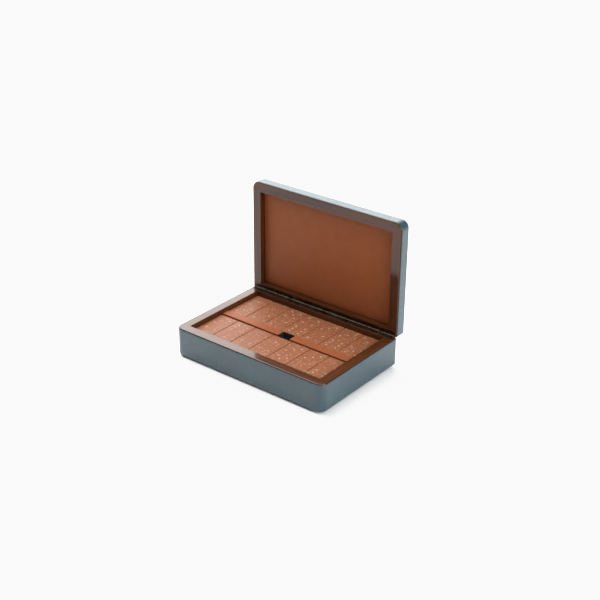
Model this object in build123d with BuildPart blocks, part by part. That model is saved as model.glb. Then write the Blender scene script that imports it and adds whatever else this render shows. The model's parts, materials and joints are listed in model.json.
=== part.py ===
from build123d import *
from itertools import combinations_with_replacement
from math import atan, cos, degrees, radians, sin
import os

# Domino storage box, standing open: a leather-covered base and lid on mitred walnut rails, joined
# by a full-width piano hinge, with a double-six set of dominoes in two rows and two layers.
# Millimetres. X runs along the hinge, Y from front to back and Z up. The origin is under the middle
# of the base, on the surface that the box stands on.

# Dominoes
tile_length = 50.0
tile_width = 25.0
tile_thickness = 12.0
tile_bevel = 0.6
pip_radius = 1.2
pip_depth = 0.45
pip_sides = 6
pip_spread = 6.0  # from the middle of a half to its outer pips
highest_value = 6

# How they lie in the tray
columns = 7
tile_gap = 0.375  # beside a domino, to the next one or to the side rail
end_gap = 0.3  # at the end of a domino
row_slack = 1.5  # spare length in front of the divider, so that the front row can be slid
seat_gap = 0.1  # under each domino
divider_width = 10.0
divider_rise = 1.0  # above the dominoes
divider_bevel = 0.6
finger_well_length = 16.0
headroom = 5.6  # from the upper dominoes to the rim

# Rails
rail_width = 11.0
back_rail_width = 7.0
front_corner_radius = 8.5  # the wood's corners at the hinge are square
rim_round = 1.0
rabbet_width = 3.0  # the board's edge is let into the rails by this much
fit_gap = 0.15  # round a board or a lining
closing_gap = 0.4  # between the two rims when the lid is shut

# Boards, linings and leather
floor_board_thickness = 2.4
tray_lining_thickness = 0.8
lid_recess_depth = 6.6
lid_lining_thickness = 1.4
lid_board_thickness = 6.8
leather_thickness = 1.2
leather_proud = 0.4  # beyond the wood that shows at the rim
wood_reveal = 1.3  # wood that shows between the leather's edge and the rim's face
outer_edge_radius = 4.0
wood_edge_chamfer = 1.7  # under the leather's outer edge
leather_corner_radius = 1.3  # over the wood's square corners
pad_thickness = 0.8
pad_inset = 7.0
pad_corner_cut = 4.0

# Piano hinge, with stops in its barrel
lid_open_angle = 90.0
hinge_inset = 2.0  # from the box's ends
knuckle_count = 11
knuckle_radius = 1.7
knuckle_clearance = 0.3
pin_radius = 0.8
pin_clearance = 0.05
stop_reach = 0.8  # of one knuckle's stop into the next knuckle
stop_start = 5.0  # degrees round the barrel, from the leaf's own side
stop_slack = 0.5
leaf_thickness = 0.8
leaf_width = 5.6  # from the pin's axis
screw_count = 5
screw_sides = 8
screw_head_radius = 1.4
screw_shank_radius = 0.7
screw_length = 7.0
screw_fit = 0.1

# Worked out from these
tray_length = columns * tile_width + (columns + 1) * tile_gap
tray_depth = 2 * tile_length + divider_width + row_slack + 3 * end_gap
box_length = tray_length + 2 * rail_width
box_depth = tray_depth + rail_width + back_rail_width
face = closing_gap / 2  # from the hinge's axis to either rim
tile_pitch = tile_thickness + seat_gap
base_shell_height = (headroom + 2 * tile_pitch + tray_lining_thickness
                     + floor_board_thickness + leather_thickness)
lid_shell_height = (lid_recess_depth + lid_lining_thickness
                    + lid_board_thickness + leather_thickness)
base_height = base_shell_height + pad_thickness
lining_top = base_height - headroom - 2 * tile_pitch
leather_rebate = leather_thickness - leather_proud
hinge_length = box_length - 2 * hinge_inset
knuckle_pitch = hinge_length / knuckle_count
barrel_clear = knuckle_radius + knuckle_clearance
stop_end = 180 - lid_open_angle / 2 - stop_slack
screw_head_slope = degrees(atan((screw_head_radius - screw_shank_radius) / leaf_thickness))
hinge_y = box_depth / 2
hinge_z = base_height + face

# Each half is drawn from the hinge's axis: x along the pin, y to the half's free edge, z from its
# rim into the half.
axis_point = (0, hinge_y, hinge_z)
base_plane = Plane(axis_point, x_dir=(1, 0, 0), z_dir=(0, 0, -1))
lid_plane = Plane(
    axis_point,
    x_dir=(-1, 0, 0),
    z_dir=(0, sin(radians(lid_open_angle)), cos(radians(lid_open_angle))),
)

os.makedirs("parts", exist_ok=True)


def save(builder, name):
    builder.part.label = name
    export_step(builder.part, f"parts/{name}.step")


def plan(grow):
    """The box's outline from above, grown by so much, with its front corners round."""
    with BuildSketch() as outline:
        with Locations((0, box_depth / 2)):
            Rectangle(box_length + 2 * grow, box_depth + 2 * grow)
        fillet(outline.vertices().group_by(Axis.Y)[-1], front_corner_radius + grow)
    return outline.sketch


def tray_plan(grow):
    """The opening between the rails, grown by so much."""
    with BuildSketch() as opening:
        with Locations((0, back_rail_width + tray_depth / 2)):
            Rectangle(tray_length + 2 * grow, tray_depth + 2 * grow)
    return opening.sketch


def wood_core(shell_height):
    """What the leather is drawn over: a half's solid wood, its far edge chamfered."""
    with BuildPart() as core:
        with BuildSketch(Plane.XY.offset(face + wood_reveal)):
            add(plan(-leather_rebate))
        extrude(amount=shell_height - wood_reveal - leather_thickness)
        chamfer(core.faces().sort_by(Axis.Z)[-1].edges(), wood_edge_chamfer)
    return core.part


def rail_frame(shell_height, board_thickness):
    """The four rails of a half in one, drawn with z from the hinge's axis into the half."""
    wood_end = face + shell_height - leather_thickness
    with BuildPart() as frame:
        with BuildSketch(Plane.XY.offset(face)):
            add(plan(0))
        extrude(amount=wood_reveal)
        rim = frame.faces().sort_by(Axis.Z)[0].edges()
        fillet(rim.sort_by(Axis.Y)[1:], rim_round)
        add(wood_core(shell_height))
        with BuildSketch(Plane.XY.offset(face)):
            add(tray_plan(0))
        extrude(amount=wood_end, mode=Mode.SUBTRACT)
        with BuildSketch(Plane.XY.offset(wood_end - board_thickness)):
            add(tray_plan(rabbet_width))
        extrude(amount=board_thickness, mode=Mode.SUBTRACT)
        with BuildSketch(Plane.XY.offset(face)):
            with Locations((0, leaf_width / 2)):
                Rectangle(hinge_length, leaf_width)
        extrude(amount=leaf_thickness, mode=Mode.SUBTRACT)
        barrel(barrel_clear, hinge_length, mode=Mode.SUBTRACT)
        add(screws(screw_fit), mode=Mode.SUBTRACT)
    return frame.part


def mitre(side):
    """The plan of one rail between its two mitres, from the outer corners to the tray's corners."""
    out_x, in_x = box_length / 2, tray_length / 2
    back, front = (0, back_rail_width), (box_depth, box_depth - rail_width)
    corners = {
        "back": [(-out_x, back[0]), (out_x, back[0]), (in_x, back[1]), (-in_x, back[1])],
        "front": [(-out_x, front[0]), (-in_x, front[1]), (in_x, front[1]), (out_x, front[0])],
        "right": [(out_x, back[0]), (out_x, front[0]), (in_x, front[1]), (in_x, back[1])],
        "left": [(-out_x, back[0]), (-in_x, back[1]), (-in_x, front[1]), (-out_x, front[0])],
    }[side]
    with BuildSketch() as wedge:
        Polygon(*corners, align=None)
    return wedge.sketch


def screws(grow):
    """One leaf's countersunk screws, grown by so much, drawn as a half is."""
    with BuildSketch() as heads:
        with Locations((0, (barrel_clear + leaf_width) / 2)):
            with GridLocations(hinge_length / screw_count, 0, screw_count, 1):
                RegularPolygon(screw_head_radius + grow, screw_sides, major_radius=False)
    with BuildSketch() as shanks:
        with Locations((0, (barrel_clear + leaf_width) / 2)):
            with GridLocations(hinge_length / screw_count, 0, screw_count, 1):
                RegularPolygon(screw_shank_radius + grow, screw_sides, major_radius=False)
    with BuildPart() as row:
        with BuildSketch(Plane.XY.offset(face)):
            add(heads.sketch)
        extrude(amount=leaf_thickness, taper=screw_head_slope)
        with BuildSketch(Plane.XY.offset(face + leaf_thickness)):
            add(shanks.sketch)
        extrude(amount=screw_length - leaf_thickness + grow)
    return row.part


def barrel(radius, length, start=0, end=360, mode=Mode.ADD):
    """A length of the hinge's barrel, or of its sector from start to end, round the axis."""
    Cylinder(radius, length, arc_size=end - start, rotation=(start + 90, 90, 0),
             align=(Align.NONE, Align.NONE, Align.CENTER), mode=mode)


def make_rails(half, plane, shell_height, board_thickness, drawn_as):
    """Parts a half's frame at its mitres."""
    frame = rail_frame(shell_height, board_thickness)
    for side in ("front", "back", "left", "right"):
        with BuildPart(plane) as rail:
            with BuildSketch(plane):
                add(mitre(drawn_as.get(side, side)))
            extrude(amount=face + shell_height)
            add(frame, mode=Mode.INTERSECT)
        save(rail, f"{half}_rail_{side}")


def make_leather_cover(half, plane, shell_height):
    """Leather over a half's sides and face, with one soft edge, open towards the rim."""
    with BuildPart(plane) as cover:
        with BuildSketch(plane.offset(face + wood_reveal)) as outline:
            add(plan(leather_proud))
            fillet(outline.vertices().group_by(Axis.Y)[0], leather_corner_radius)
        extrude(amount=shell_height - wood_reveal)
        fillet(cover.faces().sort_by(Axis(plane.origin, plane.z_dir))[-1].edges(), outer_edge_radius)
        add(wood_core(shell_height), mode=Mode.SUBTRACT)
        barrel(barrel_clear, hinge_length, mode=Mode.SUBTRACT)
    save(cover, f"{half}_leather_cover")


def make_panel(name, plane, near, thickness, grow):
    """A flat board or lining in a half, from near to near plus its thickness."""
    with BuildPart() as panel:
        with BuildSketch(plane.offset(face + near)):
            add(tray_plan(grow - fit_gap))
        extrude(amount=thickness)
    save(panel, name)


def make_leaf(name, plane, first_knuckle):
    """A leaf of the hinge, whose tongues are rolled round the pin at every second knuckle.

    The lid's two end knuckles have stops at both ends. A stop is a sector of the barrel that
    reaches into the next knuckle, which is cut away there. The stops of the two leaves meet when
    the lid is open, and keep clear until it is shut.
    """
    middles = [(i - (knuckle_count - 1) / 2) * knuckle_pitch for i in range(knuckle_count)]
    own = middles[first_knuckle::2]
    stopped = (middles[1], middles[-2])
    stops = [(x + side * knuckle_pitch / 2, 0, 0) for x in stopped for side in (-1, 1)]
    with BuildPart(plane) as leaf:
        with Locations(*[(x, 0, 0) for x in own]):
            barrel(knuckle_radius, knuckle_pitch - knuckle_clearance)
        with Locations(*stops):
            barrel(barrel_clear, 2 * (stop_reach + knuckle_clearance), stop_end, stop_start + 360,
                   mode=Mode.SUBTRACT)
            barrel(knuckle_radius, 2 * stop_reach, stop_start, stop_end)
        with Locations(*[(x, barrel_clear / 2, face) for x in own]):
            Box(knuckle_pitch - knuckle_clearance, barrel_clear, leaf_thickness,
                align=(Align.CENTER, Align.CENTER, Align.MIN))
        with Locations((0, (barrel_clear + leaf_width) / 2, face)):
            Box(hinge_length, leaf_width - barrel_clear, leaf_thickness,
                align=(Align.CENTER, Align.CENTER, Align.MIN))
        barrel(pin_radius + pin_clearance, hinge_length, mode=Mode.SUBTRACT)
        add(screws(screw_fit), mode=Mode.SUBTRACT)
    save(leaf, name)


def make_screws(name, plane):
    with BuildPart(plane) as row:
        add(screws(0))
    save(row, name)


def pip_drill():
    """The point that leaves a pip, with its tip down."""
    with BuildPart() as point:
        with BuildSketch() as mouth:
            RegularPolygon(pip_radius, pip_sides)
        loft([mouth.face(), Vertex(0, 0, -pip_depth)])
    return point.part


def pips(value):
    """Where a value's pips lie on its half of a domino."""
    s = pip_spread
    places = [(0, 0)] if value % 2 else []
    if value >= 2:
        places += [(s, s), (-s, -s)]
    if value >= 4:
        places += [(-s, s), (s, -s)]
    if value == 6:
        places += [(-s, 0), (s, 0)]
    return places


def make_tile(far, near, x, y, z):
    """A domino: far is the value towards the hinge and near the one towards the front."""
    drill = pip_drill()
    with BuildPart(Plane((x, y, z))) as tile:
        Box(tile_width, tile_length, tile_thickness, align=(Align.CENTER, Align.CENTER, Align.MIN))
        chamfer(tile.edges(), tile_bevel)
        for value, middle in ((far, tile_length / 4), (near, -tile_length / 4)):
            if value:
                with Locations(*[(px, middle + py, tile_thickness) for px, py in pips(value)]):
                    add(drill, mode=Mode.SUBTRACT)
    save(tile, f"tile_{min(far, near)}_{max(far, near)}")


# Rails, leather, boards and linings. Seen from the front, the lid's plane has its left and right
# the other way round.
make_rails("base", base_plane, base_shell_height, floor_board_thickness, {})
make_rails("lid", lid_plane, lid_shell_height, lid_board_thickness, {"left": "right", "right": "left"})
make_leather_cover("base", base_plane, base_shell_height)
make_leather_cover("lid", lid_plane, lid_shell_height)
tray_floor = headroom + 2 * tile_pitch
make_panel("tray_lining", base_plane, tray_floor, tray_lining_thickness, 0)
make_panel("base_floor_panel", base_plane, tray_floor + tray_lining_thickness,
           floor_board_thickness, rabbet_width)
make_panel("lid_lining_panel", lid_plane, lid_recess_depth, lid_lining_thickness, 0)
make_panel("lid_top_panel", lid_plane, lid_recess_depth + lid_lining_thickness,
           lid_board_thickness, rabbet_width)

# The pad that the box stands on
with BuildPart() as pad:
    with BuildSketch() as pad_plan:
        Rectangle(box_length - 2 * pad_inset, box_depth - 2 * pad_inset)
        chamfer(pad_plan.vertices(), pad_corner_cut)
    extrude(amount=pad_thickness)
save(pad, "base_underside_pad")

# Dividers, with the finger well between their ends
divider_y = hinge_y - back_rail_width - tile_length - 2 * end_gap - divider_width / 2
divider_height = 2 * tile_pitch + divider_rise
divider_length = (tray_length - finger_well_length) / 2 - fit_gap
for side, name in ((-1, "divider_left"), (1, "divider_right")):
    middle = side * (finger_well_length + divider_length) / 2
    with BuildPart(Plane((middle, divider_y, lining_top))) as divider:
        Box(divider_length, divider_width, divider_height,
            align=(Align.CENTER, Align.CENTER, Align.MIN))
        chamfer(divider.faces().sort_by(Axis.Z)[-1].edges(), divider_bevel)
    save(divider, name)

# Piano hinge
make_leaf("hinge_leaf_base", base_plane, 0)
make_leaf("hinge_leaf_lid", lid_plane, 1)
make_screws("hinge_screws_base", base_plane)
make_screws("hinge_screws_lid", lid_plane)
with BuildPart(base_plane) as pin:
    barrel(pin_radius, hinge_length)
save(pin, "hinge_pin")

# Dominoes, each with its far and its near value, from left to right. The set's others lie below.
upper_back_row = ["13", "02", "52", "46", "32", "36", "15"]
upper_front_row = ["24", "61", "04", "14", "35", "30", "06"]
upper_tiles = [(int(a), int(b)) for a, b in upper_back_row + upper_front_row]
shown = {tuple(sorted(values)) for values in upper_tiles}
whole_set = combinations_with_replacement(range(highest_value + 1), 2)
lower_tiles = [values for values in whole_set if values not in shown]
back_row_y = hinge_y - back_rail_width - end_gap - tile_length / 2
front_row_y = -hinge_y + rail_width + end_gap + tile_length / 2
for layer, tiles in enumerate((lower_tiles, upper_tiles)):
    for i, (far, near) in enumerate(tiles):
        column = i % columns
        x = (column - (columns - 1) / 2) * (tile_width + tile_gap)
        y = back_row_y if i < columns else front_row_y
        make_tile(far, near, x, y, lining_top + seat_gap + layer * tile_pitch)
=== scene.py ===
"""The looks of a leather-covered domino storage box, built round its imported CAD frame.

The frame's own nodes stay for the walnut rails, the boards and the hinge. Leather, linings,
divider strips, pad, screws and dominoes are made here and stand for their nodes. Everything is in
metres, in the frame's own place: X runs along the hinge, Y to the back and Z up.
"""

import json
import math
from itertools import combinations_with_replacement

import bmesh
import bpy
from bpy.props import FloatProperty, FloatVectorProperty, IntProperty, PointerProperty
from mathutils import Matrix, Vector, noise

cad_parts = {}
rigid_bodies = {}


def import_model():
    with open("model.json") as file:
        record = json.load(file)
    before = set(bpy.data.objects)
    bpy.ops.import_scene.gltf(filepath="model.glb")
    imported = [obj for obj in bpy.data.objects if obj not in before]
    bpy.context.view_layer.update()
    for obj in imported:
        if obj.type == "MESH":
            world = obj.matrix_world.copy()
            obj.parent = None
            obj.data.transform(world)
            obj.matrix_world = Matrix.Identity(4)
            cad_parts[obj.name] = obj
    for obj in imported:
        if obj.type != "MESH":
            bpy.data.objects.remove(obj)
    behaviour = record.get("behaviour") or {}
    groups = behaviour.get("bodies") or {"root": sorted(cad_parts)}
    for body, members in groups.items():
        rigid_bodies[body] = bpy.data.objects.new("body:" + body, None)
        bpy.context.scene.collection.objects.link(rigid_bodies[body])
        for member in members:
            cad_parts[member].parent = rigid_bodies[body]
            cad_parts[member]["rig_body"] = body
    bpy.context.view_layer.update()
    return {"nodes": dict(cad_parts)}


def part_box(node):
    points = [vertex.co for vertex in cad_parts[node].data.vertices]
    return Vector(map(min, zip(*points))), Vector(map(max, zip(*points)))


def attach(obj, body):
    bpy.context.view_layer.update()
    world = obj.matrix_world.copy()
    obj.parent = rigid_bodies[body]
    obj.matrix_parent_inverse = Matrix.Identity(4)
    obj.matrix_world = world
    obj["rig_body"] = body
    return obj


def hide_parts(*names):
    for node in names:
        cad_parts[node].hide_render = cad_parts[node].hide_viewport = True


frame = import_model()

bl_info = {
    "name": "Domino storage box",
    "version": (1, 0, 0),
    "blender": (4, 5, 0),
    "location": "3D View > Sidebar > Domino box",
    "description": "Leather, walnut, linings, hinge and dominoes of a domino storage box",
    "category": "Object",
}

MM = 0.001

HINGE_AXIS = (65.2 * MM, 35.2 * MM)  # its y and z
BARREL_CLEARANCE = 2.0 * MM  # from the hinge's axis to the leather
BARREL_INSET = 2.4 * MM  # from the leather's ends to the barrel's
WANDER_PITCH = 70.0  # waves of the leather's unevenness in a metre
CRISP_ANGLE = 0.56  # radians; sharper edges of a domino stay crisp
SKIN_STEP = 4 * MM  # between points along the leather
WALL_ROWS = 9  # rows of faces up the leather's walls
EDGE_SHADE_FADE = 0.25  # millimetres over which the painted shade on a rim's outer edge fades out

# The photograph's camera, as solved from the box's straight edges
CAMERA_PLACE = (0.70128, -0.86554, 0.63029)
CAMERA_LOOK = (-0.55330, 0.70299, -0.44684)
CAMERA_ROLL = 0.48  # degrees

# The dominoes that lie on top, from left to right, each with its far and its near value
UPPER_BACK_ROW = ("13", "02", "52", "46", "32", "36", "15")
UPPER_FRONT_ROW = ("24", "61", "04", "14", "35", "30", "06")


def colour(name, default, description):
    return FloatVectorProperty(
        name=name, description=description, subtype="COLOR", size=3, min=0, max=1, default=default
    )


def length(name, default, description):
    return FloatProperty(
        name=name, description=description, unit="LENGTH", min=0, default=default, precision=5
    )


def number(name, default, description, unit="NONE"):
    return FloatProperty(name=name, description=description, unit=unit, min=0, default=default)


def count(name, default, description, least=0):
    return IntProperty(name=name, description=description, min=least, default=default)


class LeatherSettings(bpy.types.PropertyGroup):
    tone: colour("Leather", (0.0150, 0.0430, 0.0570), "Colour of the dyed leather")
    crease_tone: colour("Creases", (0.0050, 0.0150, 0.0200), "Colour down in the grain")
    thickness: length("Thickness", 1.2 * MM, "How thick the leather is")
    fold_radius: length("Fold", 0.4 * MM, "Radius of the turned edge at the rim")
    outer_edge: length("Outer edge", 4.0 * MM, "Radius along the edge away from the rim")
    front_corner: length("Front corners", 8.9 * MM, "Radius of the two corners away from the hinge")
    hinge_corner: length("Hinge corners", 1.3 * MM, "Radius of the two corners at the hinge")
    slack: length("Slack", 0.035 * MM, "How far the skin wanders from a true surface")
    grain: length("Grain", 0.85 * MM, "Size of one pebble of the grain")


class WoodSettings(bpy.types.PropertyGroup):
    dark: colour("Dark wood", (0.0165, 0.0056, 0.0020), "Colour of the late wood")
    light: colour("Light wood", (0.0740, 0.0216, 0.0060), "Colour of the early wood")
    worn: colour("Worn wood", (0.16, 0.075, 0.036), "Colour where handling has rubbed the edges")
    # painted shade: the dark line on the rims where the leather meets the wood
    edge_dye: colour("Rim edge shade", (0.012, 0.0060, 0.0035), "Dark line where leather meets wood")
    figure: length("Figure", 14 * MM, "Width of the broad bands of the figure")
    edge_round: length("Edge", 0.35 * MM, "How far sanding and lacquer round the edges")


class LiningSettings(bpy.types.PropertyGroup):
    tone: colour("Lining", (0.232, 0.067, 0.0227), "Colour of the lid's lining")
    divider_tone: colour("Dividers", (0.203, 0.058, 0.020), "Colour of the divider strips")
    # near-black: a dark cloth, with the finger well's deep shade painted into its colour
    well_tone: colour("Tray cloth", (0.0035, 0.0050, 0.0062), "Cloth under the dominoes")
    pad_tone: colour("Pad", (0.020, 0.024, 0.026), "Colour of the felt under the box")
    edge_round: length("Edge", 0.7 * MM, "Radius of the lining's turned edges")
    fibre: length("Fibre", 0.35 * MM, "Size of the nap's fibres")
    grain: length("Grain", 0.6 * MM, "Size of one pebble of the lining leather's grain")


class DominoSettings(bpy.types.PropertyGroup):
    tone: colour("Domino", (0.163, 0.056, 0.0250), "Colour of the dominoes")
    cloud_tone: colour("Clouds", (0.225, 0.086, 0.041), "Paler colour that clouds the dominoes")
    fleck_tone: colour("Flecks", (0.360, 0.185, 0.110), "Pale flecks in the dominoes")
    fleck_spacing: length("Fleck spacing", 2.6 * MM, "From one fleck to the next")
    pip_tone: colour("Pips", (0.290, 0.172, 0.112), "Colour of the paint in the pips")
    edge_round: length("Edge", 0.75 * MM, "Radius of a domino's edges")
    pip_radius: length("Pip radius", 1.2 * MM, "Radius of a pip at the surface")
    pip_depth: length("Pip depth", 0.40 * MM, "How deep a pip is drilled")
    pip_spread: length("Pip spread", 6.0 * MM, "From the middle of a half to its outer pips")
    pip_sides: count("Pip sides", 16, "Sides of a pip's round mouth", least=8)


class HingeSettings(bpy.types.PropertyGroup):
    tone: colour("Bronze", (0.040, 0.025, 0.016), "Colour of the dark bronze")
    worn_tone: colour("Worn bronze", (0.11, 0.072, 0.043), "Where the edges have rubbed bright")
    screws: count("Screws", 5, "Screws in each leaf", least=2)
    head_radius: length("Head", 1.4 * MM, "Radius of a countersunk screw head")
    slot_width: length("Slot", 0.4 * MM, "Width of the slot in a screw head")
    seed: count("Seed", 7, "Turns the slots another way")


class StageSettings(bpy.types.PropertyGroup):
    floor_tone: colour("Floor", (0.85, 0.85, 0.855), "Colour of the floor")
    floor_reach: length("Floor reach", 1.2, "From the middle of the floor to its edges")
    sky: number("Room light", 0.24, "Strength of the even light all round")
    backdrop: number("Backdrop", 2.4, "How bright the room looks beyond the floor")
    window: number("Window", 39, "Power of the softbox behind the box, on the left", "POWER")
    key: number("Key", 56, "Power of the softbox high on the left", "POWER")
    overhead: number("Overhead", 16, "Power of the overhead softbox", "POWER")
    side: number("Side", 41, "Power of the softbox low on the right", "POWER")
    lens: number("Lens", 70.31, "Focal length on a 36 mm sensor", "CAMERA")


def group(kind, name, description):
    return PointerProperty(type=kind, name=name, description=description)


class BoxSettings(bpy.types.PropertyGroup):
    leather: group(LeatherSettings, "Leather", "The skin over both halves")
    wood: group(WoodSettings, "Walnut", "The mitred rails")
    lining: group(LiningSettings, "Linings", "Lid lining, dividers, tray cloth and pad")
    domino: group(DominoSettings, "Dominoes", "The set of 28")
    hinge: group(HingeSettings, "Hinge", "The piano hinge and its screws")
    stage: group(StageSettings, "Stage", "Floor, lights and camera")


# ---------------------------------------------------------------- wiring nodes


def put(tree, kind, inputs=(), **settings):
    """Adds a node; inputs are pairs of a socket and either a value or the output that feeds it."""
    node = tree.nodes.new(kind)
    for name, value in settings.items():
        setattr(node, name, value)
    for socket, value in dict(inputs).items():
        if isinstance(value, bpy.types.NodeSocket):
            tree.links.new(value, node.inputs[socket])
        else:
            node.inputs[socket].default_value = value
    return node


def wire(node, **values):
    """Feeds a node's inputs from other nodes' outputs, by input name with _ for a space."""
    for name, value in values.items():
        node.id_data.links.new(value, node.inputs[name.replace("_", " ")])


def maths(tree, operation, a, b=0.0, c=0.0, clamp=False):
    inputs = {0: a, 1: b, 2: c}
    return put(tree, "ShaderNodeMath", inputs, operation=operation, use_clamp=clamp).outputs[0]


def times(tree, a, b):
    return maths(tree, "MULTIPLY", a, b)


def spread(tree, value, low, high, to_low=0.0, to_high=1.0):
    """Stretches low..high to to_low..to_high and holds it there beyond."""
    inputs = {"Value": value, "From Min": low, "From Max": high}
    inputs |= {"To Min": to_low, "To Max": to_high}
    return put(tree, "ShaderNodeMapRange", inputs).outputs["Result"]


def blend_colour(tree, share, a, b, most=1.0):
    """Colour a, turning to b with share; b never takes more than most."""
    if most < 1.0:
        share = times(tree, share, most)
    node = put(tree, "ShaderNodeMix", data_type="RGBA")
    for socket, value in (("Factor_Float", share), ("A_Color", a), ("B_Color", b)):
        target = next(s for s in node.inputs if s.identifier == socket)
        if isinstance(value, bpy.types.NodeSocket):
            tree.links.new(value, target)
        else:
            target.default_value = value
    return next(s for s in node.outputs if s.identifier == "Result_Color")


def stretched(tree, vector, scale):
    return put(tree, "ShaderNodeMapping", {"Vector": vector, "Scale": scale}).outputs["Vector"]


def speckle(tree, vector, scale, detail=2.0, roughness=0.5, distortion=0.0):
    inputs = {"Vector": vector, "Scale": scale, "Detail": detail}
    inputs |= {"Roughness": roughness, "Distortion": distortion}
    return put(tree, "ShaderNodeTexNoise", inputs).outputs["Fac"]


def rgba(tone, share=1.0):
    return (*(c * share for c in tone), 1.0)


def new_group(kind, name, inputs, outputs):
    """A new node group: (tree, its inputs, its output node). Sockets are (name, kind, default)."""
    tree = bpy.data.node_groups.new(name, kind + "NodeTree")
    for way, sockets in (("OUTPUT", outputs), ("INPUT", inputs)):
        for label, holds, *default in sockets:
            holds = "NodeSocket" + holds
            socket = tree.interface.new_socket(label, in_out=way, socket_type=holds)
            if default:
                socket.default_value = default[0]
    return tree, tree.nodes.new("NodeGroupInput").outputs, tree.nodes.new("NodeGroupOutput")


def place_effect(tree, name, place, **inputs):
    """Adds the shared effect of that name, which is made the first time it is asked for."""
    effect = bpy.data.node_groups.get(name) or EFFECT_MAKERS[name]()
    return put(tree, "ShaderNodeGroup", {"Vector": place, **inputs}, node_tree=effect).outputs


# ---------------------------------------------------------------- effects that finishes share


def make_rubbed_edges():
    """How near a point is to an outer edge, broken up by handling, and its softened normal."""
    tree, given, out = new_group(
        "Shader", "Rubbed edges",
        [("Vector", "Vector"), ("Radius", "Float", 0.4 * MM), ("Patches", "Float", 60.0)],
        [("Rubbed", "Float"), ("Normal", "Vector")],
    )
    soft = put(tree, "ShaderNodeBevel", {"Radius": given["Radius"]}, samples=6)
    plain = put(tree, "ShaderNodeNewGeometry")
    normals = {0: soft.outputs["Normal"], 1: plain.outputs["Normal"]}
    facing = put(tree, "ShaderNodeVectorMath", normals, operation="DOT_PRODUCT")
    edge = spread(tree, facing.outputs["Value"], 0.99, 0.80)
    patches = spread(tree, speckle(tree, given["Vector"], given["Patches"], 4.0), 0.38, 0.62)
    wire(out, Rubbed=times(tree, edge, patches), Normal=soft.outputs["Normal"])
    return tree


def make_handling():
    """Soft patches where hands and dust have changed the shine."""
    tree, given, out = new_group(
        "Shader", "Handling marks",
        [("Vector", "Vector"), ("Size", "Float", 25.0)],
        [("Patches", "Float"), ("Dust", "Float")],
    )
    broad = speckle(tree, given["Vector"], given["Size"], 3.0, 0.55, 0.4)
    fine = speckle(tree, given["Vector"], times(tree, given["Size"], 40.0), 2.0, 0.7)
    wire(out, Patches=spread(tree, broad, 0.35, 0.65), Dust=spread(tree, fine, 0.66, 0.78))
    return tree


def make_wood_grain():
    """Figure, fibres and pores of straight-grained walnut; the grain runs along X of Vector."""
    tree, given, out = new_group(
        "Shader", "Walnut grain",
        [("Vector", "Vector"), ("Figure", "Float", 14 * MM), ("Dark", "Color"), ("Light", "Color")],
        [("Color", "Color"), ("Fibre", "Float"), ("Pore", "Float")],
    )
    pitch = maths(tree, "DIVIDE", 1.0, given["Figure"])
    along = stretched(tree, given["Vector"], (0.10, 1.0, 1.0))
    figure = speckle(tree, along, pitch, 3.0, 0.55, 1.2)
    wave = {"Vector": along, "Scale": times(tree, pitch, 0.9), "Distortion": 9.0}
    wave |= {"Detail": 3.0, "Detail Scale": 1.2}
    rings = put(tree, "ShaderNodeTexWave", wave, bands_direction="Y").outputs["Fac"]
    fibre = stretched(tree, given["Vector"], (0.025, 1.0, 1.0))
    fibre = speckle(tree, fibre, 1500.0, 4.0, 0.65)
    pore = stretched(tree, given["Vector"], (0.07, 1.0, 1.0))
    pore = spread(tree, speckle(tree, pore, 3200.0, 1.0, 0.4), 0.64, 0.72)
    broad = times(tree, spread(tree, figure, 0.3, 0.7), 0.4)
    shade = maths(tree, "MULTIPLY_ADD", rings, 0.35, broad)
    shade = maths(tree, "MULTIPLY_ADD", fibre, 0.45, shade, clamp=True)
    wood = blend_colour(tree, shade, given["Dark"], given["Light"])
    wood = blend_colour(tree, pore, wood, (0.006, 0.003, 0.002, 1.0), 0.55)
    wire(out, Color=wood, Fibre=fibre, Pore=pore)
    return tree


def make_rim_edge_shade():
    """Painted shade: the narrow outer edge of the rims, darkened where the leather butts against
    the wood.
    """
    sockets = [("Vector", "Vector")], [("Dyed", "Float")]
    tree, given, out = new_group("Shader", "Dyed edge", *sockets)
    place = put(tree, "ShaderNodeSeparateXYZ", {"Vector": given["Vector"]}).outputs

    def past(value, limit, side=1):
        """1 past a limit in millimetres, on its far side (1) or its near side (-1)."""
        return spread(tree, value, (limit - side * EDGE_SHADE_FADE) * MM, limit * MM)

    ends = past(maths(tree, "ABSOLUTE", place["X"]), 99.8)
    base_front, lid_top = past(place["Y"], -65.0, -1), past(place["Z"], 165.4)
    outside = maths(tree, "MAXIMUM", maths(tree, "MAXIMUM", ends, base_front), lid_top)
    base_walls, lid_walls = past(place["Z"], 34.5, -1), past(place["Y"], 65.9)
    off_the_rims = maths(tree, "MAXIMUM", base_walls, lid_walls)
    wire(out, Dyed=times(tree, outside, off_the_rims))
    return tree


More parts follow.
